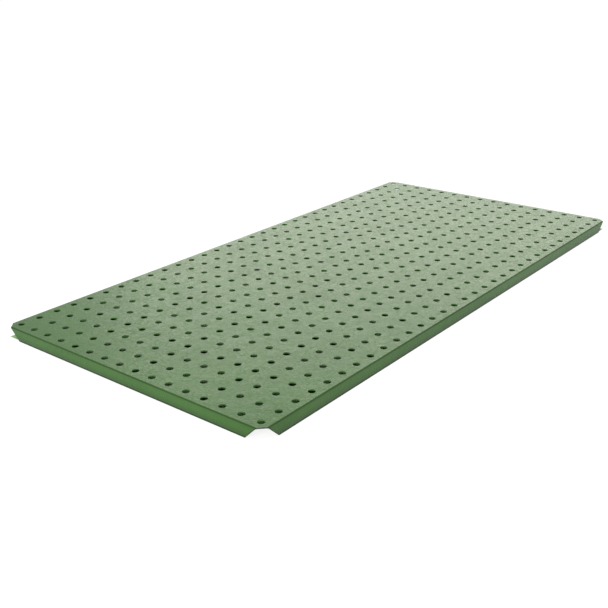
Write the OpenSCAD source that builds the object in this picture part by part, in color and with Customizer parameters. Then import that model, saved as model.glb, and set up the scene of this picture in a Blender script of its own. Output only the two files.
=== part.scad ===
// Welding table top: a perforated, folded steel deck, stiffened from below by a
// grid of interlocking rib bars, with four lugs that screw it down to a stand.
// Millimetres. +X runs along the long side, +Z is up, and the origin is the
// middle of the top's footprint, on the surface that it stands on.

/* [Deck] */
// Overall length, along X
deck_l = 1600; // [800:10:2400]
// Overall width, along Y
deck_w = 800; // [500:10:1200]
// Thickness of the deck sheet
sheet_t = 3; // [2:0.5:5]
// Inside radius of the folds
fold_r = 1; // [1:0.5:4]
// Height of the folded sides, from the lower edge to the working face
side_h = 30; // [25:1:60]
// Leg of the straight cut across each corner, from where the sides would meet
corner_cut = 20; // [12:1:24]

/* [Clamping holes] */
// Diameter of a clamping hole
hole_d = 16; // [8:1:28]
// Distance from hole to hole, both ways
hole_pitch = 50; // [40:1:80]
// Least distance from the outside of a folded side to the first row of holes
edge_margin = 25; // [18:1:50]

/* [Ribs] */
// Number of ribs across the deck
cross_ribs = 7; // [2:1:9]
// Number of ribs along the deck
long_ribs = 3; // [1:1:5]
// Thickness of a rib bar
rib_t = 4; // [3:0.5:8]
// Height of a rib's lower edge above the lower edge of the sides
rib_lift = 2; // [0:0.5:8]
// Gap between the end of a rib and the folded side that it is welded to
end_gap = 0.5; // [0.2:0.1:2]
// How much wider a half-lap slot is than the bar in it, and how much deeper
slot_gap = 0.4; // [0.2:0.1:1]

/* [Fixing lugs] */
// Thickness of a lug
lug_t = 6; // [4:0.5:10]
// Diameter of the screw hole in a lug
screw_hole_d = 9; // [6:0.5:14]
// Metal from the centre of the screw hole to the free edges of the lug
lug_edge = 20; // [14:1:24]
// Leg of the cut across the free corner of a lug
lug_corner = 8; // [2:1:12]

/* [Hidden] */

deck_green = [0.44, 0.56, 0.42];
rib_green = [0.36, 0.49, 0.34];
lug_green = [0.30, 0.43, 0.29];
round_fn = 48;
// Overshoot of a cutting shape past the face that it cuts
past = 1;

// Outside radius of a fold, and the height of the underside of the deck
fold_outer = fold_r + sheet_t;
under_z = side_h - sheet_t;
// Where the corner cut crosses the line at which a fold begins
fold_start = corner_cut - fold_outer;

// The holes fill the length and the width, and are centred in both
cols = floor((deck_l - 2 * edge_margin) / hole_pitch) + 1;
rows = floor((deck_w - 2 * edge_margin) / hole_pitch) + 1;
first_x = -(cols - 1) * hole_pitch / 2;
first_y = -(rows - 1) * hole_pitch / 2;

// A rib runs midway between two rows of holes, as near as may be to even bays
rib_h = under_z - rib_lift;
rib_mid_z = rib_lift + rib_h / 2;
function holes_before(count, k, ribs) =
    2 * k > ribs + 1
        ? count - holes_before(count, ribs + 1 - k, ribs)
        : round(k * count / (ribs + 1));
function between_holes(first, count, k, ribs) =
    first + (holes_before(count, k, ribs) - 0.5) * hole_pitch;
function cross_rib_x(k) = between_holes(first_x, cols, k, cross_ribs);
function long_rib_y(k) = between_holes(first_y, rows, k, long_ribs);
// Cut across a rib's top corners, which clears the inside of the fold
rib_corner = fold_r + end_gap;

// A lug fills the angle between an outer cross rib and a long side
lug_x = hole_pitch / 2 - rib_t / 2 + lug_edge;
lug_y = first_y + deck_w / 2 - sheet_t + lug_edge;

// ---- deck -------------------------------------------------------------------

// Section of a fold and its side: the outside of the side is on x = 0
module side_section() {
    square([sheet_t, side_h - fold_outer]);
    translate([fold_outer, side_h - fold_outer])
        difference() {
            circle(r = fold_outer, $fn = round_fn);
            circle(r = fold_r, $fn = round_fn);
            translate([0, -fold_outer])
                square(2 * fold_outer);
            translate([-fold_outer, -2 * fold_outer])
                square(2 * fold_outer);
        }
}

// One folded side of a deck that is `across` wide, with its ends mitred at 45 degrees
module folded_side(across, length) {
    top_half = length / 2 - fold_start;
    translate([0, -across / 2, 0])
        intersection() {
            rotate([90, 0, 90])
                linear_extrude(length, center = true)
                    side_section();
            translate([0, fold_outer, 0])
                rotate([90, 0, 0])
                    linear_extrude(fold_outer)
                        polygon([
                            [-top_half, side_h],
                            [top_half, side_h],
                            [top_half - side_h, 0],
                            [-top_half + side_h, 0]
                        ]);
        }
}

// The flat working face inside the folds, with its corners cut
module working_face() {
    x_fold = deck_l / 2 - fold_outer;
    y_fold = deck_w / 2 - fold_outer;
    x_cut = deck_l / 2 - fold_start;
    y_cut = deck_w / 2 - fold_start;
    translate([0, 0, under_z])
        linear_extrude(sheet_t)
            polygon([
                [x_cut, y_fold], [-x_cut, y_fold],
                [-x_fold, y_cut], [-x_fold, -y_cut],
                [-x_cut, -y_fold], [x_cut, -y_fold],
                [x_fold, -y_cut], [x_fold, y_cut]
            ]);
}

module clamping_holes() {
    for (i = [0:cols - 1], j = [0:rows - 1])
        translate([first_x + i * hole_pitch, first_y + j * hole_pitch, under_z - past])
            cylinder(d = hole_d, h = sheet_t + 2 * past, $fn = round_fn);
}

module deck() {
    color(deck_green)
        difference() {
            union() {
                working_face();
                for (turn = [0, 180]) {
                    rotate([0, 0, turn])
                        folded_side(deck_w, deck_l);
                    rotate([0, 0, turn + 90])
                        folded_side(deck_l, deck_w);
                }
            }
            clamping_holes();
        }
}

// ---- ribs -------------------------------------------------------------------

// A rib bar on edge along X, `length` long, with its top corners cut
module rib_bar(length) {
    rotate([90, 0, 0])
        linear_extrude(rib_t, center = true)
            polygon([
                [-length / 2, rib_lift],
                [length / 2, rib_lift],
                [length / 2, under_z - rib_corner],
                [length / 2 - rib_corner, under_z],
                [-length / 2 + rib_corner, under_z],
                [-length / 2, under_z - rib_corner]
            ]);
}

// A half-lap slot at x, open at the rib's lower edge or at its upper one
module half_lap(x, open_up) {
    slot_w = rib_t + slot_gap;
    slot_h = rib_h / 2 + slot_gap / 2 + past;
    z = open_up ? rib_mid_z - slot_gap / 2 : rib_lift - past;
    translate([x - slot_w / 2, -rib_t / 2 - past, z])
        cube([slot_w, rib_t + 2 * past, slot_h]);
}

// Long ribs are slotted from below, and run from end side to end side
module long_rib(k) {
    color(rib_green)
        translate([0, long_rib_y(k), 0])
            difference() {
                rib_bar(deck_l - 2 * (sheet_t + end_gap));
                for (c = [1:cross_ribs])
                    half_lap(cross_rib_x(c), false);
            }
}

// Cross ribs are slotted from above, and run from long side to long side
module cross_rib(k) {
    color(rib_green)
        translate([cross_rib_x(k), 0, 0])
            rotate([0, 0, 90])
                difference() {
                    rib_bar(deck_w - 2 * (sheet_t + end_gap));
                    for (l = [1:long_ribs])
                        half_lap(long_rib_y(l), true);
                }
}

// ---- fixing lugs ------------------------------------------------------------

// The lug in the corner where x and y are lowest, with its screw hole under the
// clamping hole beside the first cross rib, so that the screw drops in from above
module first_lug() {
    rib_face = cross_rib_x(1) - rib_t / 2;
    side_face = -deck_w / 2 + sheet_t;
    linear_extrude(lug_t)
        difference() {
            polygon([
                [rib_face, side_face],
                [rib_face, side_face + lug_y],
                [rib_face - lug_x + lug_corner, side_face + lug_y],
                [rib_face - lug_x, side_face + lug_y - lug_corner],
                [rib_face - lug_x, side_face]
            ]);
            translate([rib_face - lug_x + lug_edge, side_face + lug_y - lug_edge])
                circle(d = screw_hole_d, $fn = round_fn);
        }
}

// Lugs 1 and 2 are at the -X end and 3 and 4 at the +X end, the odd ones at -Y
module fixing_lug(k) {
    color(lug_green)
        mirror([k > 2 ? 1 : 0, 0, 0])
            mirror([0, k % 2 == 0 ? 1 : 0, 0])
                first_lug();
}

deck();
for (k = [1:long_ribs])
    long_rib(k);
for (k = [1:cross_ribs])
    cross_rib(k);
for (k = [1:4])
    fixing_lug(k);
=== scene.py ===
import math

import bmesh
import bpy
from mathutils import Matrix, Quaternion, Vector


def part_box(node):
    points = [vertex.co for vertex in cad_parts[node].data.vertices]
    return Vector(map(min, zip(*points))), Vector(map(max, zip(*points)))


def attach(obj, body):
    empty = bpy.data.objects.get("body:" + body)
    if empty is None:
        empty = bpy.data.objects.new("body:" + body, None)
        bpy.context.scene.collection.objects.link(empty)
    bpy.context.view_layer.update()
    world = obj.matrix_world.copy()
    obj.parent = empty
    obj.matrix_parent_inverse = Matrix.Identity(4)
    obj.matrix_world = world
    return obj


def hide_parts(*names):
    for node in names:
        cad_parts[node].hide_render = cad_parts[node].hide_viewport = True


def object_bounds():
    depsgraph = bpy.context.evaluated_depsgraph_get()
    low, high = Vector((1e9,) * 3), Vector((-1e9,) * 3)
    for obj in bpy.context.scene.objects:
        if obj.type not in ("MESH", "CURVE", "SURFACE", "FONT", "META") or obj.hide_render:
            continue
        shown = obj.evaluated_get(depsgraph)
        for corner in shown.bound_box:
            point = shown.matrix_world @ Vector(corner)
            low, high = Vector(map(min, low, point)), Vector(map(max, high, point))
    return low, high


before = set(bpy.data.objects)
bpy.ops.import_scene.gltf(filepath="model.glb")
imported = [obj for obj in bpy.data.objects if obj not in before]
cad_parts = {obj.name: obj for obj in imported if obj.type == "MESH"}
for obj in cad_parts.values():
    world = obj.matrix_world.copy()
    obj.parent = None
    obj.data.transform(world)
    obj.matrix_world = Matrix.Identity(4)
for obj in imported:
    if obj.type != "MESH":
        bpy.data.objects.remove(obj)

cad_low, cad_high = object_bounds()

# ---- studio ------------------------------------------------------------------
# A white light table under an even white sky. A small key light on the left lights
# the short side, and a broad soft box behind the table is mirrored in the deck.

scene = bpy.context.scene
scene.view_settings.view_transform = "Standard"

white = (1.0, 1.0, 1.0)
warm_white = (1.0, 0.99, 0.88)
floor_grey = (0.20, 0.20, 0.20)
floor_half = 40.0
floor_roughness = 0.9
floor_glow = 0.85


def new_object(bm, name):
    """Make the bmesh a mesh and an object of the scene, both of this name."""
    mesh = bpy.data.meshes.new(name)
    bm.to_mesh(mesh)
    bm.free()
    made = bpy.data.objects.new(name, mesh)
    scene.collection.objects.link(made)
    return made


def matt_finish(name, colour, roughness):
    """A finish without any shine, and its shader."""
    finish = bpy.data.materials.new(name)
    finish.use_nodes = True
    shader = finish.node_tree.nodes["Principled BSDF"]
    shader.inputs["Base Color"].default_value = (*colour, 1.0)
    shader.inputs["Roughness"].default_value = roughness
    shader.inputs["Specular IOR Level"].default_value = 0.0
    return finish, shader


bm = bmesh.new()
bmesh.ops.create_grid(bm, x_segments=1, y_segments=1, size=floor_half)
bmesh.ops.translate(bm, vec=(0, 0, cad_low.z), verts=bm.verts)
floor = new_object(bm, "studio_floor")
floor_finish, floor_shader = matt_finish("studio_floor", floor_grey, floor_roughness)
floor_shader.inputs["Emission Color"].default_value = (*white, 1.0)
floor_shader.inputs["Emission Strength"].default_value = floor_glow
floor.data.materials.append(floor_finish)

# A green sheet lies under the deck as placed shade: the light table doesn't glow under it,
# so what shows through the holes is dark. Its near corner is cut off, so that the light
# table shows in the corner gap.
mat_gap = 0.004
mat_corner = 0.086
mat_rise = 0.0005
mat_green = (0.30, 0.48, 0.23)
mat_roughness = 1.0

bm = bmesh.new()
bmesh.ops.create_grid(bm, x_segments=1, y_segments=1, size=1.0)
bmesh.ops.scale(bm, vec=(cad_high.x - mat_gap, cad_high.y - mat_gap, 1), verts=bm.verts)
bmesh.ops.translate(bm, vec=(0, 0, cad_low.z + mat_rise), verts=bm.verts)
near_corner = min(bm.verts, key=lambda v: v.co.x + v.co.y)
bmesh.ops.bevel(
    bm, geom=[near_corner], offset=mat_corner, affect="VERTICES", segments=1, profile=0.5,
    material=-1)
shadow_mat = new_object(bm, "shadow_mat")
shade_sheet_finish = matt_finish("shade_sheet", mat_green, mat_roughness)[0]
shadow_mat.data.materials.append(shade_sheet_finish)

sky = bpy.data.worlds.new("studio_sky")
sky.use_nodes = True
sky.node_tree.nodes["Background"].inputs["Color"].default_value = (*white, 1.0)
sky.node_tree.nodes["Background"].inputs["Strength"].default_value = 1.0
scene.world = sky

light_distance = 6.0


def soft_box(name, azimuth, elevation, width, height, watts, tint):
    """A light aimed at the table's middle, in degrees: azimuth 0 is -Y and 90 is +X."""
    turn = math.radians(azimuth)
    tilt = math.radians(elevation)
    level = math.cos(tilt)
    from_table = Vector((math.sin(turn) * level, -math.cos(turn) * level, math.sin(tilt)))
    light = bpy.data.lights.new(name, "AREA")
    light.color = tint
    light.shape = "RECTANGLE"
    light.size = width
    light.size_y = height
    light.energy = watts
    lamp = bpy.data.objects.new(name, light)
    lamp.location = from_table * light_distance
    lamp.rotation_euler = from_table.to_track_quat("Z", "Y").to_euler()
    lamp.visible_camera = False
    scene.collection.objects.link(lamp)


soft_box(
    "key_light", azimuth=-80, elevation=25, width=1.2, height=1.2, watts=160, tint=white)
soft_box(
    "back_light", azimuth=123, elevation=22, width=5.4, height=2.9, watts=120, tint=warm_white)

# The camera looks down the length of the table from one corner, and leans a little
view = bpy.data.cameras.new("camera")
view.sensor_width = 36.0
view.lens = 53.19
view.shift_x = -0.0247
view.clip_start = 0.05
view.clip_end = 200.0
camera_place = Vector((-1.8433, -1.3710, 0.8710))
camera_aim = Vector((-0.2644, -0.1079, cad_high.z))
camera_roll = math.radians(-0.82)
camera = bpy.data.objects.new("camera", view)
camera.location = camera_place
camera.rotation_mode = "QUATERNION"
aimed = (camera_aim - camera_place).to_track_quat("-Z", "Y")
camera.rotation_quaternion = aimed @ Quaternion((0, 0, 1), camera_roll)
scene.collection.objects.link(camera)
scene.camera = camera

# ---- deck --------------------------------------------------------------------
# One 3 mm steel sheet, laser cut with its clamping holes and its corner cuts and
# deburred, then folded down on four sides, so that the ends of the sides are mitred.

deck_low, deck_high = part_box("deck")
half_l, half_w, face_z = deck_high
sheet = 0.003
fold_outer = 0.004
fold_steps = 6
corner_cut = 0.020
deburr = 0.0004
deburr_angle = math.radians(60)
crease_angle = math.radians(35)

pitch = 0.050
hole_r = 0.008
hole_sides = 24

flat_x = half_l - fold_outer
flat_y = half_w - fold_outer
cut_x = half_l - corner_cut + fold_outer
cut_y = half_w - corner_cut + fold_outer
cols = round(2 * half_l / pitch)
rows = round(2 * half_w / pitch)

# Corners of the sheet that are closer than a hair are one
hair = 1e-5

bm = bmesh.new()
cut_edge = bm.faces.layers.float.new("cut_edge")

# One square of the grid is a flat sheet with a hole in it
bmesh.ops.create_circle(bm, cap_ends=False, segments=hole_sides, radius=hole_r)
bmesh.ops.create_circle(bm, cap_ends=False, segments=4, radius=pitch / math.sqrt(2))
square = [v for v in bm.verts if v.co.length > 2 * hole_r]
bmesh.ops.rotate(
    bm, verts=square, cent=(0, 0, 0), matrix=Quaternion((0, 0, 1), math.pi / 4).to_matrix())
bmesh.ops.triangle_fill(bm, use_beauty=True, edges=bm.edges)


def lay_out(count, step):
    """Repeat everything in the sheet, a step at a time."""
    first = bm.verts[:] + bm.edges[:] + bm.faces[:]
    for k in range(1, count):
        copy = bmesh.ops.duplicate(bm, geom=first)["geom"]
        moved = [g for g in copy if isinstance(g, bmesh.types.BMVert)]
        bmesh.ops.translate(bm, vec=step * k, verts=moved)


lay_out(cols, Vector((pitch, 0, 0)))
lay_out(rows, Vector((0, pitch, 0)))
first_hole = Vector((-(cols - 1) * pitch / 2, -(rows - 1) * pitch / 2, face_z))
bmesh.ops.translate(bm, vec=first_hole, verts=bm.verts)
bmesh.ops.remove_doubles(bm, verts=bm.verts, dist=hair)

# The flat stops where the folds begin, and its corners are cut off
for v in bm.verts:
    v.co.x = max(-flat_x, min(flat_x, v.co.x))
    v.co.y = max(-flat_y, min(flat_y, v.co.y))
for sx in (-1, 1):
    for sy in (-1, 1):
        bmesh.ops.bisect_plane(
            bm, geom=bm.verts[:] + bm.edges[:] + bm.faces[:], dist=hair / 10,
            plane_co=(sx * cut_x, sy * flat_y, face_z), plane_no=(sx, sy, 0), clear_outer=True)


def fold_down(along, sign):
    """Swing one border of the flat round its fold, draw it down, and mitre its ends."""
    out = 1 - along
    fold_line = sign * (flat_x, flat_y)[out]
    border = [e for e in bm.edges if e.is_boundary
              and all(abs(v.co[out] - fold_line) < hair for v in e.verts)]
    hinge = Vector((0, 0, face_z - fold_outer))
    hinge[out] = fold_line
    axis = Vector((0, 0, 0))
    axis[along] = -sign if along == 0 else sign
    bent = bmesh.ops.spin(
        bm, geom=border, cent=hinge, axis=axis, angle=math.pi / 2, steps=fold_steps,
        use_duplicate=False)["geom_last"]
    lower = [g for g in bent if isinstance(g, bmesh.types.BMEdge)]
    drawn = bmesh.ops.extrude_edge_only(bm, edges=lower)["geom"]
    bmesh.ops.translate(
        bm, vec=(0, 0, deck_low.z - hinge.z),
        verts=[g for g in drawn if isinstance(g, bmesh.types.BMVert)])
    bmesh.ops.remove_doubles(bm, verts=bm.verts, dist=hair / 10)
    for end in (-1, 1):
        corner = Vector((0, 0, face_z))
        corner[along] = end * (cut_x, cut_y)[along]
        slope = Vector((0, 0, -1))
        slope[along] = end
        side = {v for v in bm.verts if v.co[out] * sign > fold_line * sign - hair}
        faces = {f for v in side for f in v.link_faces if side.issuperset(f.verts)}
        edges = {e for f in faces for e in f.edges}
        bmesh.ops.bisect_plane(
            bm, geom=list(side) + list(edges) + list(faces), dist=hair / 10,
            plane_co=corner, plane_no=slope, clear_outer=True)


for along in (0, 1):
    for sign in (-1, 1):
        fold_down(along, sign)

# The skin faces outwards, and the wall grows inwards from it. The faces that are
# neither skin nor lining are where the sheet was cut. Deburring leaves the lower
# edges no lower than the deck stands.
bmesh.ops.recalc_face_normals(bm, faces=bm.faces)
if max(bm.faces, key=lambda f: f.calc_center_median().z).normal.z < 0:
    bmesh.ops.reverse_faces(bm, faces=bm.faces)
skin = set(bm.faces)
lining = set(bmesh.ops.solidify(bm, geom=bm.faces[:], thickness=sheet)["geom"])
for face in bm.faces:
    face[cut_edge] = float(face not in skin and face not in lining)
sharp = [e for e in bm.edges if e.calc_face_angle() > deburr_angle]
bmesh.ops.bevel(
    bm, geom=sharp, offset=deburr, affect="EDGES", segments=1, profile=0.5, material=-1)
for v in bm.verts:
    v.co.z = max(v.co.z, deck_low.z)

deck = new_object(bm, "folded_deck")
deck.data.shade_smooth()
deck.data.set_sharp_from_angle(angle=crease_angle)
evened = deck.modifiers.new("evened_normals", "WEIGHTED_NORMAL")
evened.keep_sharp = True
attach(deck, "root")
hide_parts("deck")


class Wire:
    """A shader socket that takes part in plain arithmetic, adding Math nodes as it goes."""

    def __init__(self, tree, socket=None):
        self.tree = tree
        self.socket = socket

    def node(self, kind, settings=None, sockets=None, out=0):
        """Add a node: its settings first, then a value or a wire for each named socket."""
        made = self.tree.nodes.new(kind)
        for name, value in (settings or {}).items():
            setattr(made, name, value)
        for name, value in (sockets or {}).items():
            if isinstance(value, Wire):
                self.tree.links.new(value.socket, made.inputs[name])
            else:
                made.inputs[name].default_value = value
        return Wire(self.tree, made.outputs[out])

    def math(self, operation, *values):
        return self.node("ShaderNodeMath", {"operation": operation}, dict(enumerate(values)))

    def __add__(self, other):
        return self.math("ADD", self, other)

    def __radd__(self, other):
        return self.math("ADD", other, self)

    def __sub__(self, other):
        return self.math("SUBTRACT", self, other)

    def __rsub__(self, other):
        return self.math("SUBTRACT", other, self)

    def __mul__(self, other):
        return self.math("MULTIPLY", self, other)

    def __rmul__(self, other):
        return self.math("MULTIPLY", other, self)

    def __truediv__(self, other):
        return self.math("DIVIDE", self, other)

    def __abs__(self):
        return self.math("ABSOLUTE", self)

    def or_more(self, other):
        """The greater of this and another."""
        return self.math("MAXIMUM", self, other)

    def slant(self, other):
        """Length of the slant whose two legs are this and another."""
        return self.math("SQRT", self * self + other * other)

    def from_nearest(self, first, step):
        """Distance, with its sign, from the nearest place in a row that begins at first."""
        return (self.math("FRACT", (self - first) / step + 0.5) - 0.5) * step

    def xyz(self):
        """The three parts of this place, each as a wire."""
        split = self.node("ShaderNodeSeparateXYZ", None, {"Vector": self}).socket.node
        return [Wire(self.tree, part) for part in split.outputs]

    def rise(self, low, high):
        """0 below low, 1 above high, and a smooth step between them."""
        return self.node(
            "ShaderNodeMapRange", {"interpolation_type": "SMOOTHSTEP"},
            {"Value": self, "From Min": low, "From Max": high})

    def noise(self, size, detail=2.0, roughness=0.5):
        """Noise from 0 to 1 at this place, with blotches of about the given size in metres."""
        return self.node(
            "ShaderNodeTexNoise", None,
            {"Vector": self, "Scale": 1 / size, "Detail": detail, "Roughness": roughness})

    def toward(self, colour, amount):
        """This colour, mixed towards another one by an amount from 0 to 1."""
        return mixed(self, colour, amount)

    def bump(self, depth, strength):
        """Normal of a surface with this relief, of the given depth in metres."""
        return self.node(
            "ShaderNodeBump", None, {"Strength": strength, "Distance": depth, "Height": self})


def mixed(colour, other, amount):
    """One colour mixed towards another by a wired amount. Either colour may be a wire too."""
    return amount.node(
        "ShaderNodeMix", {"data_type": "RGBA"}, {0: amount, 6: colour, 7: other}, out=2)


coat_gloss = 0.25


def new_finish(name):
    """A paint, its shader, and the place on the piece as a wire."""
    finish = bpy.data.materials.new(name)
    finish.use_nodes = True
    shader = finish.node_tree.nodes["Principled BSDF"]
    shader.inputs["Specular IOR Level"].default_value = coat_gloss
    place = Wire(finish.node_tree).node("ShaderNodeTexCoord", out="Object")
    return finish, shader, place


def join(shader, **wires):
    """Link wires to the shader's sockets, named with underscores for spaces."""
    for name, wire in wires.items():
        wire.tree.links.new(wire.socket, shader.inputs[name.replace("_", " ")])


# A powder coat is cloudy over a hand's width, mottled, and finely speckled
cloud_size = 0.16
mottle_size = 0.011
speckle_size = 0.0026
grit_size = 0.0018
mottle_amount = 0.35
speckle_amount = 0.40
grit_amount = 0.45


def powder_coat(place, green, pale, dark):
    """Colour of a powder coat: a green, clouded with a pale one and specked with a dark."""
    cloud = place.noise(cloud_size, detail=3.0).rise(0.30, 0.70)
    mottle = place.noise(mottle_size, detail=2.0).rise(0.30, 0.75)
    speckle = place.noise(speckle_size, detail=2.0, roughness=0.7).rise(0.56, 0.74)
    grit = place.noise(grit_size, detail=1.0, roughness=0.7).rise(0.60, 0.78)
    coat = mixed(green, pale, cloud).toward(pale, mottle * mottle_amount)
    return coat.toward(dark, speckle * speckle_amount).toward(pale, grit * grit_amount)


# The coat was sprayed and baked, and dries in soft dimples
dimple_size = 0.0040
ripple_size = 0.020
peel_depth = 0.0006
peel_strength = 0.6

deck_green = (0.030, 0.098, 0.013, 1.0)
deck_pale = (0.040, 0.114, 0.019, 1.0)
deck_dark = (0.016, 0.056, 0.007, 1.0)
# Colour of the painted shade on the folds and lower sides, of the painted contact shadow at the foot
# and of the dark mitre lines
painted_shade_dark = (0.008, 0.026, 0.004, 1.0)
bare_edge = (0.045, 0.055, 0.042, 1.0)
# The hole walls are painted paler, as painted light
hole_wall_painted_light = (0.062, 0.165, 0.036, 1.0)
# Paler rims, partly wear and partly painted highlight
rim_wear_and_highlight = (0.075, 0.150, 0.055, 1.0)

# Where a shade of the coat begins and where it is full, each measured in metres: out
# past the flat, down from the face, up from the foot, in from the mitre, and out from
# the middle of a hole
fold_begins, fold_full = 0.0006, 0.0018
fold_fades, fold_gone = 0.0012, 0.0028
side_begins, side_full = 0.0030, 0.0036
foot_full, foot_gone = 0.0030, 0.0050
low_full, low_gone = 0.004, 0.018
end_full, end_gone = 0.0014, 0.0032
wall_full, wall_gone = hole_r - 0.0001, hole_r + 0.0002
rim_fades, rim_gone = hole_r + 0.0005, hole_r + 0.0011

fold_shade = 0.65
low_shade = 0.35
rim_wear_and_highlight_amount = 0.7
rub_size = 0.03
grain_size = 0.0055
haze_size = 0.05

deck_paint, shader, place = new_finish("deck_powder_coat")
x, y, height = place.xyz()
from_x = abs(x)
from_y = abs(y)
drop = face_z - height

# The coat is duller round the folds. Painted shade darkens it round the folds and down
# the lower sides, with a painted contact shadow along their lower edges and a painted
# dark line along their mitred ends
beyond = (from_x - flat_x).or_more(from_y - flat_y)
on_fold = beyond.rise(fold_begins, fold_full) * (1 - drop.rise(fold_fades, fold_gone))
from_mitre = (cut_x - from_x).or_more(cut_y - from_y) - drop
foot_contact_shadow = 1 - height.rise(foot_full, foot_gone)
on_end = 1 - from_mitre.rise(end_full, end_gone)
on_side = beyond.rise(side_begins, side_full)
painted_dark_edges = on_side * foot_contact_shadow.or_more(on_end)
low_side_painted_shade = on_side * (1 - height.rise(low_full, low_gone))

# The walls of the holes are painted paler, as painted light on them. The rims are paler
# here and there, partly rubbed and partly painted highlight, and the cut edges of the
# sheet are all but bare
from_hole = x.from_nearest(first_hole.x, pitch).slant(y.from_nearest(first_hole.y, pitch))
in_hole = 1 - from_hole.rise(wall_full, wall_gone)
on_rim = from_hole.rise(hole_r, wall_gone) * (1 - from_hole.rise(rim_fades, rim_gone))
rim_wear_and_highlight_mask = on_rim * place.noise(rub_size).rise(0.35, 0.65)
cut = place.node("ShaderNodeAttribute", {"attribute_name": "cut_edge"}, out="Fac")

coat = powder_coat(place, deck_green, deck_pale, deck_dark)
# Painted shade round the folds and lower sides, a painted contact shadow at the foot, a dark line at
# the mitres, and rims paler in patches from wear and painted highlight
coat = coat.toward(painted_shade_dark, on_fold * fold_shade + low_side_painted_shade * low_shade)
coat = coat.toward(painted_shade_dark, painted_dark_edges).toward(rim_wear_and_highlight, rim_wear_and_highlight_mask * rim_wear_and_highlight_amount)
# Cut edges all but bare, and hole walls painted paler as painted light
coat = coat.toward(bare_edge, cut).toward(hole_wall_painted_light, in_hole)
grain = place.noise(grain_size, detail=3.0, roughness=0.7).rise(0.30, 0.70)
haze = place.noise(haze_size)
dullness = 0.20 + 0.10 * haze + 0.22 * grain + 0.15 * on_fold + 0.15 * cut
peel = place.noise(dimple_size, detail=1.5, roughness=0.4) + place.noise(ripple_size, detail=1.0) * 1.5
join(shader, Base_Color=coat, Roughness=dullness, Normal=peel.bump(peel_depth, peel_strength))
deck.data.materials.append(deck_paint)

# ---- ribs --------------------------------------------------------------------
# Three long bars and seven cross bars of flat mill steel, half-lapped where they
# meet and sprayed after welding. The coat shows the bar's drawn lines, is worn off along
# its lower edge, and turns dark where the gun didn't reach: at the laps and the deck.

long_ribs = [f"long_rib_{k}" for k in range(1, 4)]
cross_ribs = [f"cross_rib_{k}" for k in range(1, 8)]


def middle_of(rib, axis):
    low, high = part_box(rib)
    return (low[axis] + high[axis]) / 2


rib_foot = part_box(cross_ribs[0])[0].z
under_z = face_z - sheet
rib_green = (0.024, 0.080, 0.011, 1.0)
rib_pale = (0.034, 0.096, 0.018, 1.0)
rib_dark = (0.011, 0.038, 0.006, 1.0)
worn_steel = (0.110, 0.118, 0.104, 1.0)

line_width = 0.0012
line_stretch = 0.04
line_amount = 0.35
lap_dark, lap_clear = 0.002, 0.012
deck_shade = 0.007
missed_amount = 0.7
worn_low, worn_high = 0.0003, 0.0012
worn_size = 0.012
mill_scale = 0.0032
bar_relief = 0.00012
bar_strength = 0.6
bar_haze = 0.04


def bar_coat(name, along, first_lap, lap_pitch):
    """Paint of the bars that run along one axis, lapped every lap_pitch from first_lap."""
    finish, shader, place = new_finish(name)
    run = place.xyz()[along]
    height = place.xyz()[2]
    drawn = Vector((1, 1, 1))
    drawn[along] = line_stretch
    streaks = place.node("ShaderNodeVectorMath", {"operation": "MULTIPLY"}, {0: place, 1: drawn})
    lines = streaks.noise(line_width, detail=2.0)

    at_lap = 1 - abs(run.from_nearest(first_lap, lap_pitch)).rise(lap_dark, lap_clear)
    at_deck = height.rise(under_z - deck_shade, under_z)
    at_foot = 1 - height.rise(rib_foot + worn_low, rib_foot + worn_high)
    worn = at_foot * place.noise(worn_size).rise(0.40, 0.62)

    coat = powder_coat(place, rib_green, rib_pale, rib_dark)
    coat = coat.toward(rib_pale, lines.rise(0.5, 0.8) * line_amount)
    coat = coat.toward(rib_dark, at_lap.or_more(at_deck) * missed_amount)
    coat = coat.toward(worn_steel, worn)
    relief = lines + place.noise(mill_scale) * 0.7
    dullness = 0.38 + 0.12 * place.noise(bar_haze) + 0.10 * at_lap
    join(
        shader, Base_Color=coat, Roughness=dullness,
        Normal=relief.bump(bar_relief, bar_strength))
    return finish


def repaint(node, finish):
    for material_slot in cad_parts[node].material_slots:
        material_slot.material = finish


lap_x = middle_of(cross_ribs[0], 0)
lap_y = middle_of(long_ribs[0], 1)
step_x = middle_of(cross_ribs[1], 0) - lap_x
step_y = middle_of(long_ribs[1], 1) - lap_y
long_paint = bar_coat("long_rib_coat", 0, lap_x, step_x)
cross_paint = bar_coat("cross_rib_coat", 1, lap_y, step_y)
for rib in long_ribs:
    repaint(rib, long_paint)
for rib in cross_ribs:
    repaint(rib, cross_paint)

# ---- fixing lugs -------------------------------------------------------------
# Four plates of 6 mm steel, each welded into the angle between an outer cross rib
# and a long side. The stand's screw drops in from above, and its washer has worn the
# paint round the screw hole down to the steel.

lugs = [f"fixing_lug_{k}" for k in range(1, 5)]
screw_x = half_l - 3.5 * pitch
screw_y = half_w - 0.5 * pitch
screw_r = 0.0045
washer_r = 0.0088
lug_green = (0.021, 0.070, 0.010, 1.0)
lug_dark = (0.009, 0.032, 0.005, 1.0)

washer_blur = 0.0006
groove_out, groove_in = washer_r - 0.0008, washer_r - 0.0014
bite_full, bite_gone = screw_r + 0.0004, screw_r + 0.0014
scuff_size = 0.0040
groove_dark = 0.8
bare_metal = 0.9
lug_relief = 0.00015
lug_strength = 0.7

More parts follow.
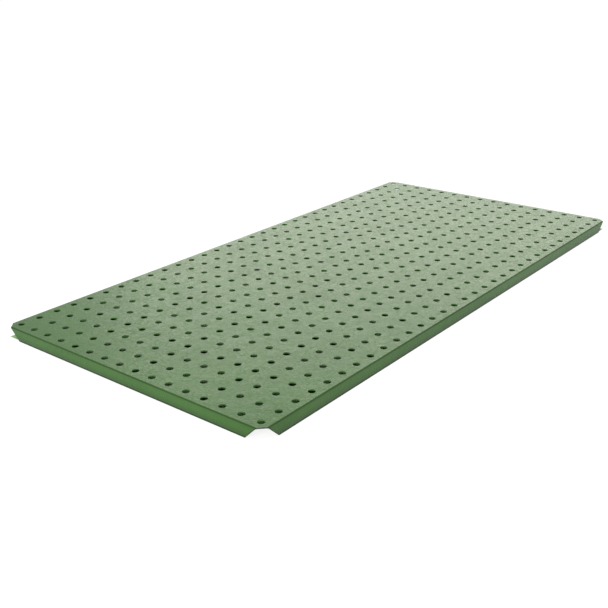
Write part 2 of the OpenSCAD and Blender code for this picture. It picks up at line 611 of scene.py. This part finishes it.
lug_paint, shader, place = new_finish("lug_coat")
x, y = place.xyz()[:2]
from_screw = (abs(x) - screw_x).slant(abs(y) - screw_y)
under_washer = 1 - from_screw.rise(washer_r - washer_blur, washer_r)
scuffs = place.noise(scuff_size, detail=3.0, roughness=0.6)
worn = under_washer * scuffs.rise(0.38, 0.55)
bitten = 1 - from_screw.rise(bite_full, bite_gone)
steel = worn.or_more(bitten)
pressed = under_washer - (1 - from_screw.rise(groove_in, groove_out))

coat = powder_coat(place, lug_green, rib_pale, lug_dark)
coat = coat.toward(lug_dark, pressed * groove_dark).toward(worn_steel, steel)
relief = place.noise(mill_scale, detail=1.5) - under_washer * 0.8 + scuffs * 0.5
join(
    shader, Base_Color=coat, Metallic=steel * bare_metal, Roughness=0.45 - 0.12 * steel,
    Normal=relief.bump(lug_relief, lug_strength))
for lug in lugs:
    repaint(lug, lug_paint)

# ---- stitch welds ------------------------------------------------------------
# Fillet beads of mild steel, laid from below and painted over: one in every bay
# between a rib and the deck, on alternate sides, one at each end of every rib, and two
# on top of every lug.

bead_leg = 0.003
bead_bury = 0.0004
bead_length = 0.025
bead_sides = 12
bead_angle = math.radians(50)
ripples = 9
crater = 0.55
ripple_dip = 0.90

bm = bmesh.new()


def lay_bead(middle, run, wall, other, length=bead_length):
    """A rippled fillet bead along run, in the angle that opens towards wall and other."""
    ring = bmesh.ops.create_circle(
        bm, cap_ends=False, segments=bead_sides, radius=bead_leg)["verts"]
    for v in ring:
        v.co.x = max(v.co.x, -bead_bury)
        v.co.y = max(v.co.y, -bead_bury)
    bmesh.ops.remove_doubles(bm, verts=ring, dist=hair)
    edges = list({e for v in ring if v.is_valid for e in v.link_edges})
    before = set(bm.verts) - {v for e in edges for v in e.verts}
    bmesh.ops.spin(
        bm, geom=edges, cent=(0, 0, 0), axis=(0, 0, 1), dvec=(0, 0, length / ripples), angle=0,
        steps=ripples, use_duplicate=False)
    bead = [v for v in bm.verts if v not in before]
    for v in bead:
        k = round(v.co.z / length * ripples)
        swell = crater if k in (0, ripples) else ripple_dip ** (k % 2)
        v.co.x *= swell
        v.co.y *= swell
    turn = Matrix((wall, other, run)).transposed().to_4x4()
    start = middle - run * length / 2
    bmesh.ops.transform(bm, matrix=Matrix.Translation(start) @ turn, verts=bead)


along_l = Vector((1, 0, 0))
along_w = Vector((0, 1, 0))
up = Vector((0, 0, 1))
rib_half = (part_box(cross_ribs[0])[1].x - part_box(cross_ribs[0])[0].x) / 2
inner_l = half_l - sheet
inner_w = half_w - sheet
bay_l = [lap_x + (k - 0.5) * step_x for k in range(len(cross_ribs) + 1)]
bay_w = [lap_y + (k - 0.5) * step_y for k in range(len(long_ribs) + 1)]

for r, rib in enumerate(cross_ribs):
    for b, y in enumerate(bay_w):
        side = (-1) ** (r + b)
        x = middle_of(rib, 0) + side * rib_half
        lay_bead(Vector((x, y, under_z)), along_w, side * along_l, -up)
for r, rib in enumerate(long_ribs):
    for b, x in enumerate(bay_l):
        side = (-1) ** (r + b)
        y = middle_of(rib, 1) + side * rib_half
        lay_bead(Vector((x, y, under_z)), along_l, side * along_w, -up)

# The end welds stand upright, on the side of the rib that faces the middle
end_z = (rib_foot + under_z) / 2
end_length = 0.018
for end in (-1, 1):
    for rib in cross_ribs:
        side = -1 if middle_of(rib, 0) > 0 else 1
        weld_middle = Vector((middle_of(rib, 0) + side * rib_half, end * inner_w, end_z))
        lay_bead(weld_middle, up, side * along_l, -end * along_w, end_length)
    for rib in long_ribs:
        side = -1 if middle_of(rib, 1) > 0 else 1
        weld_middle = Vector((end * inner_l, middle_of(rib, 1) + side * rib_half, end_z))
        lay_bead(weld_middle, up, -end * along_l, side * along_w, end_length)

for lug in lugs:
    low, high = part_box(lug)
    middle = (low + high) / 2
    out_x = math.copysign(1, middle.x)
    out_y = math.copysign(1, middle.y)
    rib_face = min(abs(low.x), abs(high.x)) * out_x
    side_face = inner_w * out_y
    lay_bead(Vector((rib_face, middle.y, high.z)), along_w, out_x * along_l, up)
    lay_bead(Vector((middle.x, side_face, high.z)), along_l, -out_y * along_w, up)

bmesh.ops.holes_fill(bm, edges=bm.edges, sides=0)
bmesh.ops.recalc_face_normals(bm, faces=bm.faces)
welds = new_object(bm, "stitch_welds")
welds.data.shade_smooth()
welds.data.set_sharp_from_angle(angle=bead_angle)

soot_size = 0.006
soot_dark = 0.5
spatter_size = 0.0014
bead_relief = 0.0002
bead_strength = 0.7

weld_paint, shader, place = new_finish("weld_coat")
soot = place.noise(soot_size, detail=3.0).rise(0.35, 0.70)
spatter = place.noise(spatter_size, detail=1.0).rise(0.55, 0.75)
coat = powder_coat(place, rib_green, rib_pale, rib_dark).toward(rib_dark, soot * soot_dark)
relief = place.noise(spatter_size) + spatter * 0.6
join(
    shader, Base_Color=coat, Roughness=0.30 + 0.2 * soot,
    Normal=relief.bump(bead_relief, bead_strength))
welds.data.materials.append(weld_paint)
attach(welds, "root")
